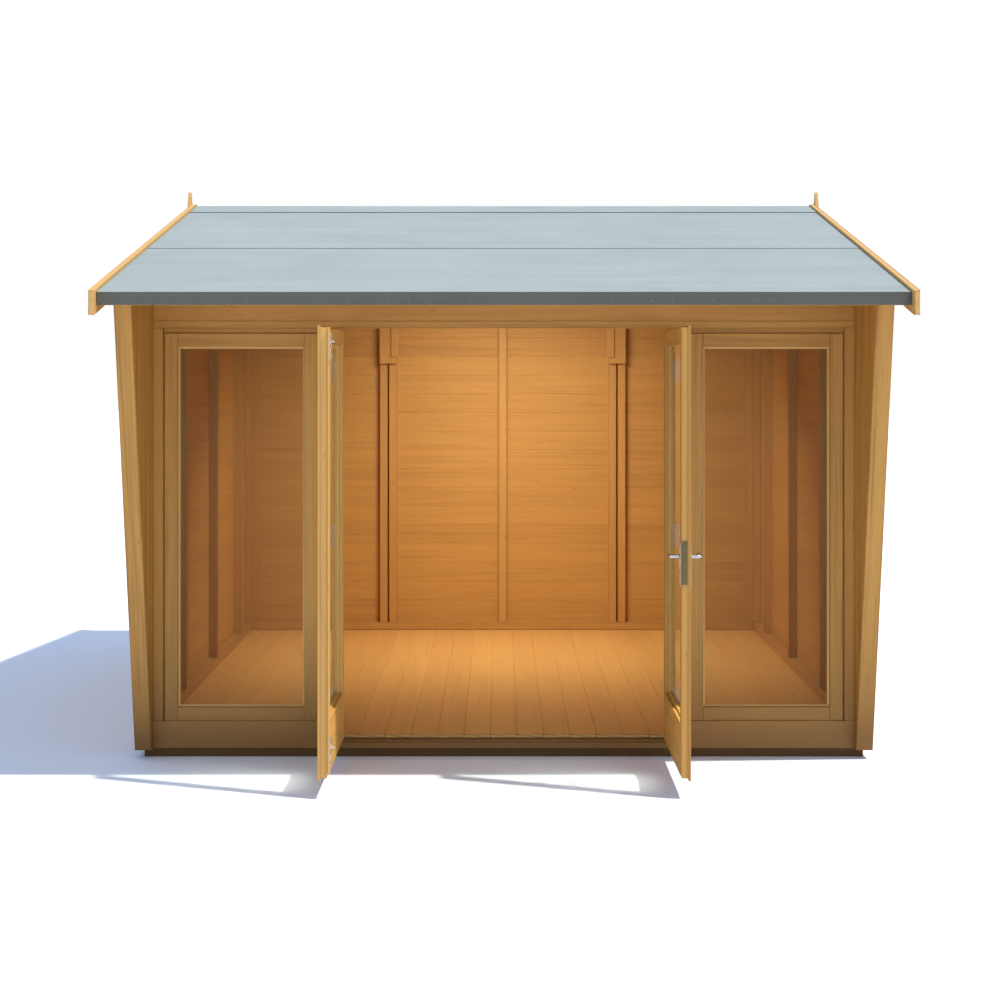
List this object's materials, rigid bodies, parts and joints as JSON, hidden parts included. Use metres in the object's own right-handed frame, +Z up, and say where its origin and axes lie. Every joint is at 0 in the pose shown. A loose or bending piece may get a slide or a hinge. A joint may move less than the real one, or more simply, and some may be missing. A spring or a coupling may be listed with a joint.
{
  "type": "summerhouse",
  "caption": "Timber garden summerhouse with a felted ridge roof, leaning front wings, two fixed windows and a pair of glazed doors that swing outwards.",
  "frame": {"origin": "middle of the walls' footprint, on the ground under the bearers, straight below the ridge", "axes": "+X to the right seen from the front and along the ridge, +Y towards the back wall, +Z up"},
  "size_m": [3.094, 3.7975, 2.452],
  "materials": {
    "board_timber": "honey-brown stained softwood boards, satin",
    "framing_timber": "planed softwood framing, light brown",
    "joinery_timber": "planed and stained door and window timber",
    "trim_timber": "pale stained trim boards",
    "floor_timber": "warm planed floor boards",
    "base_timber": "dark pressure-treated timber",
    "felt": "pale blue-grey mineral roofing felt, matt",
    "glass": "clear flat glass",
    "zinc_steel": "zinc-plated steel",
    "satin_chrome": "satin chrome"
  },
  "bodies": {
    "house": {"floor_bearers": "base_timber", "floor_boards": "floor_timber", "left_wall_cladding": "board_timber", "right_wall_cladding": "board_timber", "back_wall_cladding": "board_timber", "side_wall_studs": "framing_timber", "side_wall_bottom_rails": "framing_timber", "gable_top_rails": "framing_timber", "back_wall_studs": "framing_timber", "back_wall_rails": "framing_timber", "back_corner_trims": "trim_timber", "wing_linings": "board_timber", "wing_edge_boards": "trim_timber", "front_outer_posts": "framing_timber", "front_door_posts": "framing_timber", "front_head_rail": "framing_timber", "front_header_board": "board_timber", "front_sill_beams": "framing_timber", "front_sill_board": "base_timber", "window_frames": "joinery_timber", "window_glass": "glass", "roof_boards_front": "board_timber", "roof_boards_back": "board_timber", "felt_front_lower": "felt", "felt_front_upper": "felt", "felt_back": "felt", "felt_ridge_cap": "felt", "eave_battens": "framing_timber", "barge_boards_front": "trim_timber", "barge_boards_back": "trim_timber", "finials": "trim_timber", "ridge_beam": "framing_timber", "roof_trusses": "framing_timber", "truss_heel_plates": "framing_timber", "frame_hinges": "zinc_steel"},
    "left_door": {"left_door_frame": "joinery_timber", "left_door_facing": "joinery_timber", "left_door_glass": "glass", "left_door_hinges": "zinc_steel", "left_door_meeting_strip": "joinery_timber", "left_door_bolts": "zinc_steel"},
    "right_door": {"right_door_frame": "joinery_timber", "right_door_facing": "joinery_timber", "right_door_glass": "glass", "right_door_hinges": "zinc_steel", "right_door_lock_plates": "satin_chrome"},
    "door_lever": {"right_door_levers": "satin_chrome"}
  },
  "joints": [
    {"name": "left_door_hinge", "type": "hinge", "parent": "house", "child": "left_door", "pos_m": [-0.6925, -1.4615, 0.9], "axis": [0, 0, -1], "range_deg": [-90, 70]},
    {"name": "right_door_hinge", "type": "hinge", "parent": "house", "child": "right_door", "pos_m": [0.6925, -1.4615, 0.9], "axis": [0, 0, 1], "range_deg": [-90, 70]},
    {"name": "lever_turn", "type": "hinge", "parent": "right_door", "child": "door_lever", "pos_m": [0.6685, -2.1215, 0.89], "axis": [-1, 0, 0], "range_deg": [0, 40], "stiffness_Nm_per_rad": 1.2, "springref_deg": -28.65}
  ]
}
